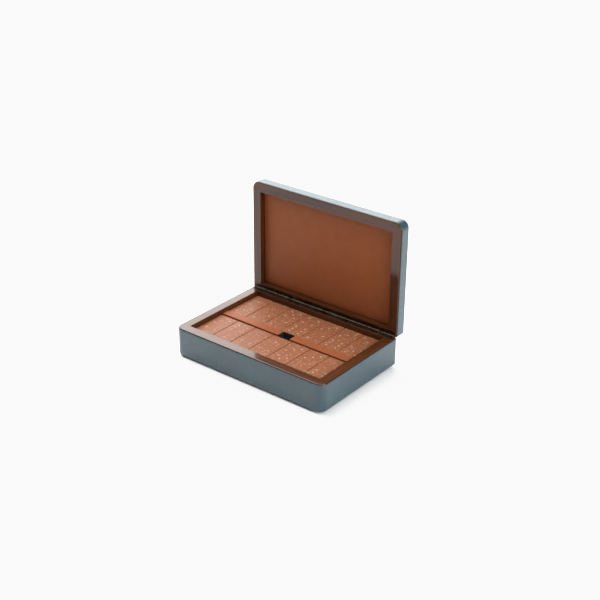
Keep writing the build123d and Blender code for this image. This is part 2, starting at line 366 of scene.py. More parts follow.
def make_skin_grain():
    """The pebbled grain of drummed leather, with its creases."""
    tree, given, out = new_group(
        "Shader", "Leather grain",
        [("Vector", "Vector"), ("Grain", "Float", 0.85 * MM)],
        [("Height", "Float"), ("Crease", "Float"), ("Mottle", "Float")],
    )
    pitch = maths(tree, "DIVIDE", 1.0, given["Grain"])
    sway = {"Vector": given["Vector"], "Scale": times(tree, pitch, 0.6), "Detail": 2.0}
    sway = put(tree, "ShaderNodeTexNoise", sway).outputs["Color"]
    bent = {0: sway, 1: (0.6 * MM,) * 3, 2: given["Vector"]}
    bent = put(tree, "ShaderNodeVectorMath", bent, operation="MULTIPLY_ADD").outputs[0]
    cells = {"Vector": bent, "Scale": pitch}
    pebbles = put(tree, "ShaderNodeTexVoronoi", cells, feature="DISTANCE_TO_EDGE")
    pebbles = pebbles.outputs["Distance"]
    crown = {"Value": pebbles, "From Min": 0.0, "From Max": 0.28}
    crown = put(tree, "ShaderNodeMapRange", crown, interpolation_type="SMOOTHSTEP")
    fine = speckle(tree, given["Vector"], times(tree, pitch, 3.5), 3.0, 0.6)
    height = maths(tree, "MULTIPLY_ADD", fine, 0.35, crown.outputs["Result"])
    mottle = speckle(tree, given["Vector"], 55.0, 5.0, 0.6)
    crease, mottle = spread(tree, pebbles, 0.10, 0.0), spread(tree, mottle, 0.3, 0.7)
    wire(out, Height=height, Crease=crease, Mottle=mottle)
    return tree


def make_nap():
    """Short fibres lying this way and that, as on suede, felt or baize."""
    tree, given, out = new_group(
        "Shader", "Nap",
        [("Vector", "Vector"), ("Fibre", "Float", 0.35 * MM)],
        [("Height", "Float"), ("Lay", "Float")],
    )
    pitch = maths(tree, "DIVIDE", 1.0, given["Fibre"])
    fine = speckle(tree, given["Vector"], pitch, 4.0, 0.7, 0.6)
    lay = speckle(tree, given["Vector"], times(tree, pitch, 0.03), 3.0, 0.6, 0.8)
    lay = times(tree, spread(tree, lay, 0.3, 0.7), 0.5)
    lay = maths(tree, "MULTIPLY_ADD", spread(tree, fine, 0.25, 0.75), 0.5, lay)
    wire(out, Height=fine, Lay=lay)
    return tree


EFFECT_MAKERS = {
    "Rubbed edges": make_rubbed_edges,
    "Handling marks": make_handling,
    "Walnut grain": make_wood_grain,
    "Dyed edge": make_rim_edge_shade,
    "Leather grain": make_skin_grain,
    "Nap": make_nap,
}


# ---------------------------------------------------------------- finishes


def new_finish(name, **sockets):
    """A material with a Principled shader; sockets are its even values, with _ for a space."""
    material = bpy.data.materials.new(name)
    material.use_nodes = True
    tree = material.node_tree
    tree.nodes.clear()
    even = {name.replace("_", " "): value for name, value in sockets.items()}
    shader = put(tree, "ShaderNodeBsdfPrincipled", even)
    put(tree, "ShaderNodeOutputMaterial", {"Surface": shader.outputs["BSDF"]})
    place = put(tree, "ShaderNodeTexCoord").outputs["Object"]
    return material, tree, shader, place


def raise_surface(tree, shader, height, distance, strength=1.0, normal=None):
    inputs = {"Height": height, "Distance": distance, "Strength": strength}
    if normal is not None:
        inputs["Normal"] = normal
    wire(shader, Normal=put(tree, "ShaderNodeBump", inputs).outputs["Normal"])


def walnut_finish(name, turn, wood):
    """Lacquered walnut; turn brings the rail's own length to X."""
    shine = {"IOR": 1.5, "Specular_IOR_Level": 0.05, "Coat_Roughness": 0.10, "Coat_IOR": 1.5}
    material, tree, shader, place = new_finish(name, **shine)
    lined_up = put(tree, "ShaderNodeMapping", {"Vector": place, "Rotation": turn}).outputs["Vector"]
    tones = {"Dark": rgba(wood.dark), "Light": rgba(wood.light)}
    grain = place_effect(tree, "Walnut grain", lined_up, Figure=wood.figure, **tones)
    edges = place_effect(tree, "Rubbed edges", place, Radius=wood.edge_round, Patches=90.0)
    marks = place_effect(tree, "Handling marks", place, Size=30.0)
    painted_shade = place_effect(tree, "Dyed edge", place)["Dyed"]
    tone = blend_colour(tree, edges["Rubbed"], grain["Color"], rgba(wood.worn), 0.35)
    # painted shade along the rims' outer edge by the leather, where the coat is also thinned
    tone = blend_colour(tree, painted_shade, tone, rgba(wood.edge_dye), 0.9)
    rough = maths(tree, "MULTIPLY_ADD", marks["Patches"], 0.10, 0.34)
    rough = maths(tree, "MULTIPLY_ADD", marks["Dust"], 0.15, rough)
    wire(shader, Base_Color=tone, Roughness=rough)
    wire(shader, Coat_Weight=spread(tree, painted_shade, 0.0, 1.0, 0.62, 0.12))
    height = maths(tree, "MULTIPLY_ADD", grain["Pore"], -0.6, grain["Fibre"])
    raise_surface(tree, shader, height, 0.04 * MM, 0.6, edges["Normal"])
    return material


def leather_finish(leather):
    shine = {"IOR": 2.4, "Specular_IOR_Level": 0.13}
    shine |= {"Sheen_Weight": 0.26, "Sheen_Roughness": 0.30, "Sheen_Tint": (0.80, 0.93, 1.0, 1.0)}
    material, tree, shader, place = new_finish("Blue-grey leather", **shine)
    grain = place_effect(tree, "Leather grain", place, Grain=leather.grain)
    marks = place_effect(tree, "Handling marks", place, Size=18.0)
    edges = place_effect(tree, "Rubbed edges", place, Radius=0.9 * MM, Patches=45.0)
    paler = [min(1.0, c * 1.22 + 0.006) for c in leather.tone]
    tone = blend_colour(tree, grain["Mottle"], rgba(leather.tone, 0.80), rgba(leather.tone, 1.20))
    tone = blend_colour(tree, grain["Crease"], tone, rgba(leather.crease_tone), 0.42)
    tone = blend_colour(tree, edges["Rubbed"], tone, rgba(paler), 0.30)
    rough = maths(tree, "MULTIPLY_ADD", marks["Patches"], 0.05, 0.28)
    rough = maths(tree, "MULTIPLY_ADD", grain["Crease"], 0.15, rough)
    wire(shader, Base_Color=tone, Roughness=rough)
    raise_surface(tree, shader, grain["Height"], 0.10 * MM, 0.45)
    return material


def nap_finish(name, tone, fibre, bump=0.12 * MM, sheen=0.25):
    """Felt or baize, with fibres bump high."""
    shine = {"IOR": 1.4, "Sheen_Weight": sheen, "Sheen_Roughness": 0.45, "Specular_IOR_Level": 0.3}
    material, tree, shader, place = new_finish(name, **shine)
    nap = place_effect(tree, "Nap", place, Fibre=fibre)
    shade = blend_colour(tree, nap["Lay"], rgba(tone, 0.78), rgba(tone, 1.22))
    wire(shader, Base_Color=shade, Roughness=spread(tree, nap["Lay"], 0.0, 1.0, 0.82, 0.94))
    raise_surface(tree, shader, nap["Height"], bump, 0.6)
    return material


def lining_finish(name, tone, lining):
    """Suede with a soft shine: the lid's lining and the dividers."""
    material, tree, shader, place = new_finish(name, IOR=1.45, Specular_IOR_Level=0.12)
    grain = place_effect(tree, "Leather grain", place, Grain=lining.grain)
    nap = place_effect(tree, "Nap", place, Fibre=lining.fibre)
    shade = blend_colour(tree, nap["Lay"], rgba(tone, 0.90), rgba(tone, 1.10))
    shade = blend_colour(tree, grain["Crease"], shade, rgba(tone, 0.45), 0.30)
    rough = maths(tree, "MULTIPLY_ADD", grain["Mottle"], 0.08, 0.44)
    wire(shader, Base_Color=shade, Roughness=rough)
    height = maths(tree, "MULTIPLY_ADD", nap["Height"], 0.5, grain["Height"])
    raise_surface(tree, shader, height, 0.06 * MM, 0.4)
    return material


def board_finish():
    """Birch ply of the boards between leather and lining."""
    material, tree, shader, place = new_finish("Board", IOR=1.5)
    tones = {"Dark": (0.30, 0.20, 0.11, 1), "Light": (0.52, 0.38, 0.24, 1)}
    grain = place_effect(tree, "Walnut grain", place, Figure=20 * MM, **tones)
    rough = spread(tree, grain["Fibre"], 0.3, 0.7, 0.55, 0.75)
    wire(shader, Base_Color=grain["Color"], Roughness=rough)
    raise_surface(tree, shader, grain["Fibre"], 0.05 * MM, 0.5)
    return material


def bronze_finish(name, hinge, gleam=0.0):
    """Dark bronze, brushed along X; gleam brightens its polished patches."""
    material, tree, shader, place = new_finish(name, IOR=1.5)
    edges = place_effect(tree, "Rubbed edges", place, Radius=0.18 * MM, Patches=300.0)
    marks = place_effect(tree, "Handling marks", place, Size=120.0)
    brushed = speckle(tree, stretched(tree, place, (0.02, 1.0, 1.0)), 4000.0, 3.0, 0.6)
    dull, bright = rgba(hinge.tone, 0.75), rgba(hinge.tone, 1.2 + gleam)
    tone = blend_colour(tree, marks["Patches"], dull, bright)
    tone = blend_colour(tree, edges["Rubbed"], tone, rgba(hinge.worn_tone))
    wire(shader, Base_Color=tone, Roughness=spread(tree, brushed, 0.3, 0.7, 0.30, 0.46))
    wire(shader, Metallic=spread(tree, marks["Patches"], 0.0, 1.0, 1.0, 0.85))
    raise_surface(tree, shader, brushed, 0.01 * MM, 0.4, edges["Normal"])
    return material


def domino_finish(domino):
    """Terracotta, clouded, with pale flecks and dark grit."""
    shine = {"IOR": 1.46, "Specular_IOR_Level": 0.16}
    material, tree, shader, place = new_finish("Terracotta domino", **shine)
    marks = place_effect(tree, "Handling marks", place, Size=70.0)
    edges = place_effect(tree, "Rubbed edges", place, Radius=0.6 * MM, Patches=120.0)
    clouds = spread(tree, speckle(tree, place, 240.0, 5.0, 0.65, 0.6), 0.36, 0.68)
    grit = spread(tree, speckle(tree, place, 2300.0, 2.0, 0.6), 0.60, 0.70)
    cells = {"Vector": place, "Scale": 1.0 / domino.fleck_spacing}
    cells = put(tree, "ShaderNodeTexVoronoi", cells).outputs
    chance = put(tree, "ShaderNodeSeparateColor", {"Color": cells["Color"]}).outputs["Red"]
    flecks = spread(tree, cells["Distance"], 0.36, 0.22)
    flecks = times(tree, flecks, spread(tree, chance, 0.15, 0.70))
    tone = blend_colour(tree, clouds, rgba(domino.tone), rgba(domino.cloud_tone), 0.6)
    tone = blend_colour(tree, flecks, tone, rgba(domino.fleck_tone), 0.80)
    tone = blend_colour(tree, grit, tone, rgba(domino.tone, 0.55), 0.25)
    tone = blend_colour(tree, edges["Rubbed"], tone, rgba(domino.cloud_tone), 0.35)
    rough = maths(tree, "MULTIPLY_ADD", clouds, 0.10, 0.50)
    rough = maths(tree, "MULTIPLY_ADD", marks["Patches"], -0.08, rough)
    wire(shader, Base_Color=tone, Roughness=rough)
    height = maths(tree, "MULTIPLY_ADD", grit, -0.5, clouds)
    raise_surface(tree, shader, height, 0.03 * MM, 0.5)
    return material


def pip_finish(domino):
    """Cream paint, wiped flush, a little thin in scattered patches."""
    material, tree, shader, place = new_finish("Pip paint", IOR=1.48)
    thin = spread(tree, speckle(tree, place, 1600.0, 3.0, 0.6), 0.45, 0.75)
    tone = blend_colour(tree, thin, rgba(domino.pip_tone), rgba(domino.cloud_tone), 0.35)
    wire(shader, Base_Color=tone, Roughness=spread(tree, thin, 0.0, 1.0, 0.38, 0.55))
    raise_surface(tree, shader, thin, 0.03 * MM, 0.4)
    return material


def floor_finish(stage):
    shine = {"IOR": 1.4, "Specular_IOR_Level": 0.15}
    material, tree, shader, place = new_finish("Pale paper floor", **shine)
    weave = speckle(tree, place, 300.0, 3.0, 0.6)
    tone = blend_colour(tree, weave, rgba(stage.floor_tone, 0.997), rgba(stage.floor_tone))
    wire(shader, Base_Color=tone, Roughness=spread(tree, weave, 0.0, 1.0, 0.8, 0.9))
    return material


# ---------------------------------------------------------------- meshes


def finished(name, mesh, finishes, node):
    """Puts a mesh in the scene in a CAD node's stead, riding on that node's body."""
    for material in finishes:
        if material.name not in mesh.materials:
            mesh.materials.append(material)
    piece = bpy.data.objects.new(name, mesh)
    bpy.context.scene.collection.objects.link(piece)
    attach(piece, frame["nodes"][node]["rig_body"])
    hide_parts(node)


def dress(node, material):
    """Gives a CAD node that is shown as it is its finish."""
    mesh = frame["nodes"][node].data
    mesh.materials.clear()
    mesh.materials.append(material)


def worked_out(mesh, kind, label, values):
    """The mesh after a modifier of that kind, whose properties are values, as a plain mesh."""
    holder = bpy.data.objects.new("in_work", mesh)
    bpy.context.scene.collection.objects.link(holder)
    modifier = holder.modifiers.new(label, kind)
    for name, value in values.items():
        if kind == "NODES" and name != "node_group":
            modifier[name] = value
        else:
            setattr(modifier, name, value)
    bpy.context.view_layer.update()
    worked = holder.evaluated_get(bpy.context.evaluated_depsgraph_get())
    ready = bpy.data.meshes.new_from_object(worked)
    bpy.data.objects.remove(holder)
    bpy.data.meshes.remove(mesh)
    return ready


def to_mesh(shape, name, smooth=True):
    bmesh.ops.recalc_face_normals(shape, faces=shape.faces)
    mesh = bpy.data.meshes.new(name)
    shape.to_mesh(mesh)
    shape.free()
    mesh.shade_smooth() if smooth else mesh.shade_flat()
    return mesh


def bridge(shape, a, b):
    """Joins two rings of points with faces."""
    for i in range(len(a)):
        j = (i + 1) % len(a)
        shape.faces.new((a[i], a[j], b[j], b[i]))


def round_off(shape, edges, radius, segments):
    bmesh.ops.bevel(
        shape, geom=edges, offset=radius, segments=segments,
        profile=0.5, affect="EDGES", clamp_overlap=True,
    )


def true_faces(mesh):
    """The mesh with normals that keep its flat faces flat to the eye."""
    return worked_out(mesh, "WEIGHTED_NORMAL", "True faces", {"keep_sharp": True, "weight": 90})


def soft_block(low, high, radius, segments=3, crown=0.0, crown_axis=2, cuts=0):
    """A block with round edges; crown swells its two faces across crown_axis."""
    shape = bmesh.new()
    bmesh.ops.create_cube(shape, size=1.0)
    if cuts:
        across = [e for e in shape.edges if abs((e.verts[0].co - e.verts[1].co)[crown_axis]) < 0.5]
        bmesh.ops.subdivide_edges(shape, edges=across, cuts=cuts, use_grid_fill=True)
    middle, size = (low + high) / 2, high - low
    for v in shape.verts:
        v.co = middle + Vector(c * s for c, s in zip(v.co, size))
    sharp = [e for e in shape.edges if len(e.link_faces) == 2 and e.calc_face_angle(0.0) > 1.0]
    round_off(shape, sharp, radius, segments)
    if crown:
        flat = [i for i in range(3) if i != crown_axis]
        for v in shape.verts:
            fall = 1.0
            for i in flat:
                fall *= max(0.0, 1.0 - (2 * (v.co[i] - middle[i]) / size[i]) ** 2) ** 0.35
            side = 1.0 if v.co[crown_axis] > middle[crown_axis] else -1.0
            v.co[crown_axis] += side * crown * (fall - 1.0)
    return shape


# ---------------------------------------------------------------- leather, cloth and felt


def outline(low, high, inset, corners, step):
    """Points round a rounded rectangle, the same number whatever the inset.

    corners are the radii at (low, low), (high, low), (high, high) and (low, high); each point comes
    with its outward direction.
    """
    (x0, y0), (x1, y1) = low, high
    places = ((x0, y0, 180), (x1, y0, 270), (x1, y1, 0), (x0, y1, 90))
    inward = ((1, 1), (-1, 1), (-1, -1), (1, -1))
    arcs = []
    for (x, y, start), (ix, iy), radius in zip(places, inward, corners):
        kept = max(radius - inset, 0.12 * radius)
        cx, cy = x + ix * (inset + kept), y + iy * (inset + kept)
        turns = max(6, math.ceil(radius * math.pi / 2 / (step * 0.3)))
        arc = []
        for i in range(turns + 1):
            a = math.radians(start + 90 * i / turns)
            across, along = math.cos(a), math.sin(a)
            arc.append((Vector((cx + kept * across, cy + kept * along)), Vector((across, along))))
        arcs.append(arc)
    points = []
    spans = (x1 - x0, y1 - y0) * 2
    for i, arc in enumerate(arcs):
        points += arc
        (a, normal), (b, _) = arc[-1], arcs[(i + 1) % 4][0]
        parts = math.ceil(spans[i] / step)
        points += [(a.lerp(b, j / parts), normal) for j in range(1, parts)]
    return points


def skin_profile(leather, depth):
    """(inset, h) of each ring of points, from the rim's turned edge down to the face's middle."""
    fold, edge, thick = leather.fold_radius, leather.outer_edge, leather.thickness
    wall = depth - edge
    profile = [(thick, 0.0), (thick * 0.75, 0.0), (fold, 0.0)]
    for a in map(math.radians, (22, 45, 68, 90)):
        profile.append((fold * (1 - math.sin(a)), fold * (1 - math.cos(a))))
    profile += [(0.0, fold + (wall - fold) * i / WALL_ROWS) for i in range(1, WALL_ROWS + 1)]
    for a in map(math.radians, range(10, 91, 10)):
        profile.append((edge * (1 - math.cos(a)), wall + edge * math.sin(a)))
    return profile + [(edge + d * MM, depth) for d in (1.5, 4, 8, 16, 30, 48)]


def leather_skin(half, leather):
    """One half's leather: over its sides and face, folded in at the rim and cut clear of the hinge.

    It is drawn flat, with x along the hinge, v from the hinge to the free edge and h from the rim
    into the half, and then put in its half's place.
    """
    low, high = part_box(f"{half}_leather_cover")
    if half == "base":
        place = lambda x, v, h: Vector((x, high.y - v, high.z - h))
        reach, depth = high.y - low.y, high.z - low.z
        pin_v, pin_h = high.y - HINGE_AXIS[0], HINGE_AXIS[1] - high.z
        sway = Vector((3.1, 7.7, 5.3))
    else:
        place = lambda x, v, h: Vector((x, low.y + h, low.z + v))
        reach, depth = high.z - low.z, high.y - low.y
        pin_v, pin_h = HINGE_AXIS[1] - low.z, low.y - HINGE_AXIS[0]
        sway = Vector((3.1, 7.7, 1.9))
    edge, thick = leather.outer_edge, leather.thickness
    inner = [(thick, depth - thick), (thick, depth - edge), (thick, 0.4 * MM)]
    corners = (leather.hinge_corner,) * 2 + (leather.front_corner,) * 2

    def ring_at(inset):
        return outline((low.x, 0.0), (high.x, reach), inset, corners, SKIN_STEP)

    def faces_hinge(out):
        return out.y < -0.99

    shape = bmesh.new()
    rings = []
    for inset, h in skin_profile(leather, depth):
        ring = []
        flat_share = min(1.0, max(0.0, (inset - edge * 0.4) / edge))
        free = min(1.0, max(0.0, (h - 0.5 * MM) / (4 * MM)))
        for p, out in ring_at(inset):
            clear = 0.0
            if faces_hinge(out) and abs(p.x) < high.x - BARREL_INSET:
                gap = BARREL_CLEARANCE ** 2 - (p.y - pin_v) ** 2
                clear = max(0.0, math.sqrt(max(0.0, gap)) - pin_h) * max(0.0, 1.0 - h / (6 * MM))
            wander = noise.noise(Vector((p.x, p.y, h)) * WANDER_PITCH + sway)
            dip = max(0.0, -leather.slack * wander * free)
            q = p - out * dip * (1.0 - flat_share)
            ring.append(shape.verts.new(place(q.x, q.y, max(h, clear) - dip * flat_share)))
        rings.append(ring)
    hollow = []
    for inset, h in reversed(inner):
        # the cut edge starts lower at the hinge, clear of the barrel
        hollow.append([
            shape.verts.new(place(p.x, p.y, max(h, 0.9 * MM) if faces_hinge(out) else h))
            for p, out in ring_at(inset)
        ])
    order = list(reversed(hollow)) + rings
    for a, b in zip(order, order[1:]):
        bridge(shape, a, b)
    shape.faces.new(order[0])
    shape.faces.new(order[-1])
    return to_mesh(shape, f"{half}_leather")


def tray_cloth():
    """The cloth on the tray's floor, turned up round the four sides of the finger well."""
    low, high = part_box("tray_lining")
    left_low, left_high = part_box("divider_left")
    right_low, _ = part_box("divider_right")
    shape = soft_block(low, high, 0.3 * MM, segments=2)
    thick, top = 0.2 * MM, left_high.z - 0.5 * MM
    x0, x1, y0, y1 = left_high.x, right_low.x, left_low.y - thick, left_high.y + thick
    outer = [(x0, y0), (x1, y0), (x1, y1), (x0, y1)]
    x0, x1, y0, y1 = x0 + thick, x1 - thick, y0 + thick, y1 - thick
    inner = [(x0, y0), (x1, y0), (x1, y1), (x0, y1)]
    levels = ((outer, high.z), (outer, top), (inner, top), (inner, high.z))
    rings = [[shape.verts.new((x, y, z)) for x, y in ring] for ring, z in levels]
    for a, b in zip(rings, rings[1:] + rings[:1]):
        bridge(shape, a, b)
    return to_mesh(shape, "tray_cloth", smooth=False)


def pad_mesh():
    """The felt pad, with its four corners cut off and its edges eased."""
    low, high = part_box("base_underside_pad")
    shape = bmesh.new()
    cut = 4 * MM
    x0, x1, y0, y1 = low.x, high.x, low.y, high.y
    corners = [(x0 + cut, y0), (x1 - cut, y0), (x1, y0 + cut), (x1, y1 - cut)]
    corners += [(x1 - cut, y1), (x0 + cut, y1), (x0, y1 - cut), (x0, y0 + cut)]
    under = [shape.verts.new((x, y, low.z)) for x, y in corners]
    over = [shape.verts.new((x, y, high.z)) for x, y in corners]
    shape.faces.new(reversed(under))
    shape.faces.new(over)
    bridge(shape, under, over)
    level = [e for e in shape.edges if abs(e.verts[0].co.z - e.verts[1].co.z) < 0.001 * MM]
    round_off(shape, level, 0.2 * MM, 2)
    return to_mesh(shape, "underside_pad", smooth=False)


# ---------------------------------------------------------------- dominoes


def pip_places(value, s):
    """Where the pips of a value lie in its half, s from the middle to the outer ones."""
    places = [(0, 0)] if value % 2 else []
    if value >= 2:
        places += [(s, s), (-s, -s)]
    if value >= 4:
        places += [(-s, s), (s, -s)]
    if value == 6:
        places += [(-s, 0), (s, 0)]
    return places


def filled_in(tree, values):
    """Modifier values by socket identifier, from values by input name."""
    sockets = {s.name: s.identifier for s in tree.interface.items_tree if s.in_out == "INPUT"}
    return {"node_group": tree, **{sockets[name]: value for name, value in values.items()}}


def grow(tree, kind, output, inputs=(), **settings):
    """Adds a geometry node and gives that output of it."""
    return put(tree, "GeometryNode" + kind, inputs, **settings).outputs[output]


def upward(tree, height):
    return put(tree, "ShaderNodeCombineXYZ", {"Z": height}).outputs[0]


def make_pip_drill():
    """Drills a round dish at every loose point of a domino and paints it."""
    inputs = [("Geometry", "Geometry"), ("Pip Radius", "Float", 1.2 * MM)]
    inputs += [("Pip Depth", "Float", 0.4 * MM), ("Pip Sides", "Int", 16)]
    inputs += [("Domino", "Material"), ("Paint", "Material")]
    tree, given, out = new_group("Geometry", "Drilled pips", inputs, inputs[:1])
    radius, depth = given["Pip Radius"], given["Pip Depth"]
    loose = {"A": grow(tree, "InputMeshVertexNeighbors", "Vertex Count"), "B": 0}
    loose = put(tree, "FunctionNodeCompare", loose, data_type="INT", operation="EQUAL")
    parted = {"Geometry": given["Geometry"], "Selection": loose.outputs["Result"]}
    parted = put(tree, "GeometryNodeSeparateGeometry", parted, domain="POINT").outputs
    ball = maths(tree, "MULTIPLY_ADD", depth, depth, times(tree, radius, radius))
    ball = maths(tree, "DIVIDE", ball, times(tree, depth, 2.0))
    drill = {"Segments": given["Pip Sides"], "Rings": 16, "Radius": ball}
    drill = {"Geometry": grow(tree, "MeshUVSphere", "Mesh", drill)}
    drill["Translation"] = upward(tree, maths(tree, "SUBTRACT", ball, depth))
    drill = grow(tree, "Transform", "Geometry", drill)
    drills = {"Points": parted["Selection"], "Instance": drill}
    drills = grow(tree, "InstanceOnPoints", "Instances", drills)
    drills = grow(tree, "RealizeInstances", "Geometry", {"Geometry": drills})
    drills = {"Geometry": drills, "Material": given["Paint"]}
    drills = grow(tree, "SetMaterial", "Geometry", drills)
    cut = {"Mesh 1": parted["Inverted"], "Mesh 2": drills}
    cut = grow(tree, "MeshBoolean", "Mesh", cut, operation="DIFFERENCE", solver="EXACT")
    smooth = {"Geometry": cut, "Shade Smooth": True}
    smooth = grow(tree, "SetShadeSmooth", "Geometry", smooth, domain="FACE")
    sharp = {0: grow(tree, "InputMeshEdgeAngle", "Unsigned Angle"), 1: CRISP_ANGLE}
    sharp = put(tree, "FunctionNodeCompare", sharp, data_type="FLOAT", operation="GREATER_THAN")
    crisp = {"Geometry": smooth, "Selection": sharp.outputs["Result"], "Shade Smooth": False}
    crisp = grow(tree, "SetShadeSmooth", "Geometry", crisp, domain="EDGE")
    dish = grow(tree, "MaterialSelection", "Selection", {"Material": given["Paint"]})
    body = put(tree, "FunctionNodeBooleanMath", {0: dish}, operation="NOT").outputs[0]
    painted = {"Geometry": crisp, "Selection": body, "Material": given["Domino"]}
    painted = grow(tree, "SetMaterial", "Geometry", painted)
    wire(out, Geometry=painted)
    return tree


def domino_values():
    """(node, far value, near value) of every domino in the box."""
    upper = [(int(a), int(b)) for a, b in UPPER_BACK_ROW + UPPER_FRONT_ROW]
    shown = {tuple(sorted(pair)) for pair in upper}
    lower = [pair for pair in combinations_with_replacement(range(7), 2) if pair not in shown]
    return [(f"tile_{min(pair)}_{max(pair)}", *pair) for pair in lower + upper]


def domino_mesh(node, far, near, domino, drill, finishes):
    low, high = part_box(node)
    shape = soft_block(low, high, domino.edge_round, segments=4)
    middle, quarter = (low + high) / 2, (high.y - low.y) / 4
    for value, y0 in ((far, middle.y + quarter), (near, middle.y - quarter)):
        for x, y in pip_places(value, domino.pip_spread):
            shape.verts.new((middle.x + x, y0 + y, high.z))
    values = {"Pip Radius": domino.pip_radius, "Pip Depth": domino.pip_depth}
    values |= {"Pip Sides": domino.pip_sides, "Domino": finishes[0], "Paint": finishes[1]}
    mesh = to_mesh(shape, node)
    return true_faces(worked_out(mesh, "NODES", "Drilled pips", filled_in(drill, values)))


# ---------------------------------------------------------------- hinge screws


def make_screw_row():
    """Countersunk slotted screws on points, each turned its own way."""
    inputs = [("Geometry", "Geometry"), ("Head Radius", "Float", 1.4 * MM)]
    inputs += [("Shank Radius", "Float", 0.7 * MM), ("Countersink", "Float", 0.8 * MM)]
    inputs += [("Length", "Float", 7 * MM), ("Slot Width", "Float", 0.4 * MM)]
    inputs += [("Slot Depth", "Float", 0.45 * MM), ("Turn", "Vector"), ("Seed", "Int", 0)]
    inputs += [("Metal", "Material")]
    tree, given, out = new_group("Geometry", "Slotted screws", inputs, inputs[:1])
    head_radius, thin, sunk = given["Head Radius"], given["Shank Radius"], given["Countersink"]

    def tapered(sides, top, bottom, depth, drop):
        """A round piece of that depth, whose lower end lies drop below the surface."""
        sizes = {"Vertices": sides, "Side Segments": 1, "Fill Segments": 1}
        sizes |= {"Radius Top": top, "Radius Bottom": bottom, "Depth": depth}
        piece = {"Geometry": grow(tree, "MeshCone", "Mesh", sizes)}
        piece["Translation"] = upward(tree, times(tree, drop, -1.0))
        return grow(tree, "Transform", "Geometry", piece)

    slot = {"X": times(tree, head_radius, 2.4), "Y": given["Slot Width"]}
    slot["Z"] = times(tree, given["Slot Depth"], 2.0)
    slot = {"Size": put(tree, "ShaderNodeCombineXYZ", slot).outputs[0]}
    head = {"Mesh 1": tapered(28, head_radius, thin, sunk, sunk)}
    head["Mesh 2"] = grow(tree, "MeshCube", "Mesh", slot)
    head = grow(tree, "MeshBoolean", "Mesh", head, operation="DIFFERENCE", solver="EXACT")
    depth = maths(tree, "SUBTRACT", given["Length"], sunk)
    shank = tapered(14, thin, times(tree, thin, 0.3), depth, given["Length"])
    screw = put(tree, "GeometryNodeJoinGeometry")
    tree.links.new(head, screw.inputs[0])
    tree.links.new(shank, screw.inputs[0])
    spin = {"Min": (0.0, 0.0, 0.0), "Max": (0.0, 0.0, 3.14), "Seed": given["Seed"]}
    spin = put(tree, "FunctionNodeRandomValue", spin, data_type="FLOAT_VECTOR").outputs["Value"]
    row = {"Points": given["Geometry"], "Instance": screw.outputs[0], "Rotation": given["Turn"]}
    row = {"Instances": grow(tree, "InstanceOnPoints", "Instances", row)}
    row |= {"Rotation": spin, "Local Space": True}
    row = grow(tree, "RotateInstances", "Instances", row)
    row = grow(tree, "RealizeInstances", "Geometry", {"Geometry": row})
    row = grow(tree, "SetMaterial", "Geometry", {"Geometry": row, "Material": given["Metal"]})
    wire(out, Geometry=row)
    return tree


def screw_row(half, hinge, tree, metal):
    low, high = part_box(f"hinge_screws_{half}")
    pitch = (high.x - low.x - 2 * hinge.head_radius) / (hinge.screws - 1)
    shape = bmesh.new()
    for i in range(hinge.screws):
        x = low.x + hinge.head_radius + i * pitch
        if half == "base":
            shape.verts.new((x, (low.y + high.y) / 2, high.z))
        else:
            shape.verts.new((x, low.y, (low.z + high.z) / 2))
    turn = (0.0, 0.0, 0.0) if half == "base" else (math.radians(90), 0.0, 0.0)
    values = {"Head Radius": hinge.head_radius, "Slot Width": hinge.slot_width, "Turn": turn}
    values |= {"Seed": hinge.seed + (half == "lid"), "Metal": metal}
    mesh = to_mesh(shape, f"hinge_screws_{half}", smooth=False)
    return worked_out(mesh, "NODES", "Slotted screws", filled_in(tree, values))


# ---------------------------------------------------------------- operators


class PieceOperator:
    bl_options = {"REGISTER", "UNDO"}

    @property
    def sizes(self):
        return bpy.context.scene.domino_box


class DOMINO_OT_rails(PieceOperator, bpy.types.Operator):
    """Finish the eight mitred rails in lacquered walnut, each with its grain along its length"""

    bl_idname = "domino.rails"
    bl_label = "Walnut rails"

    def execute(self, context):
        wood = self.sizes.wood
        quarter = math.radians(90)
        lengthwise = walnut_finish("Walnut, lengthwise", (0.0, 0.0, 0.0), wood)
        crosswise = walnut_finish("Walnut, crosswise", (0.0, 0.0, quarter), wood)
        upright = walnut_finish("Walnut, upright", (0.0, quarter, 0.0), wood)
        for side in ("front", "back"):
            dress(f"base_rail_{side}", lengthwise)
            dress(f"lid_rail_{side}", lengthwise)
        for side in ("left", "right"):
            dress(f"base_rail_{side}", crosswise)
            dress(f"lid_rail_{side}", upright)
        return {"FINISHED"}


class DOMINO_OT_boards(PieceOperator, bpy.types.Operator):
    """Finish the two boards between leather and lining"""

    bl_idname = "domino.boards"
    bl_label = "Boards"

    def execute(self, context):
        ply = board_finish()
        dress("base_floor_panel", ply)
        dress("lid_top_panel", ply)
        return {"FINISHED"}


class DOMINO_OT_leather(PieceOperator, bpy.types.Operator):
    """Draw the blue-grey leather over the base and the lid"""

    bl_idname = "domino.leather"
    bl_label = "Leather"

    def execute(self, context):
        leather = self.sizes.leather
        skin = leather_finish(leather)
        for half in ("base", "lid"):
            mesh, node = leather_skin(half, leather), f"{half}_leather_cover"
            finished(f"{half}_leather", mesh, [skin], node)
        return {"FINISHED"}


